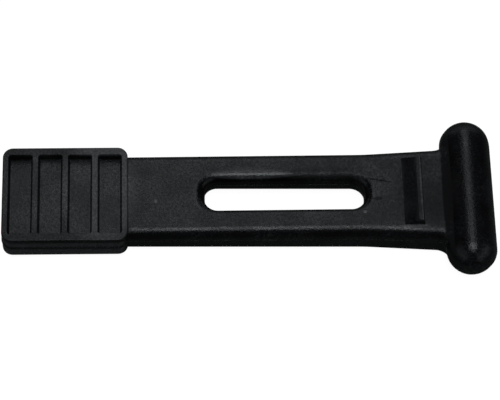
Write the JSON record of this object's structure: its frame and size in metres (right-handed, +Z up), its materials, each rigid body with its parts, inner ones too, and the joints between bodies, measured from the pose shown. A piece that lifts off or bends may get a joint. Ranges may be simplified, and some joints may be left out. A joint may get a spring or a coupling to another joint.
{
  "type": "rubber t draw latch",
  "caption": "Moulded black rubber strap that hooks a T-bar into a bracket, drops a long slot over a keeper hook, and is pulled by a ribbed grip.",
  "frame": {"origin": "under the middle of the moulding, at the height of the underside of the T-bar", "axes": "+X along the strap from the grip to the T-bar, +Y along the T-bar, +Z up out of the face with the pockets and the tooth"},
  "size_m": [0.1528, 0.0518, 0.0156],
  "materials": {
    "black_rubber": "satin"
  },
  "bodies": {
    "root": {"latch_strap": "black_rubber"}
  },
  "joints": []
}
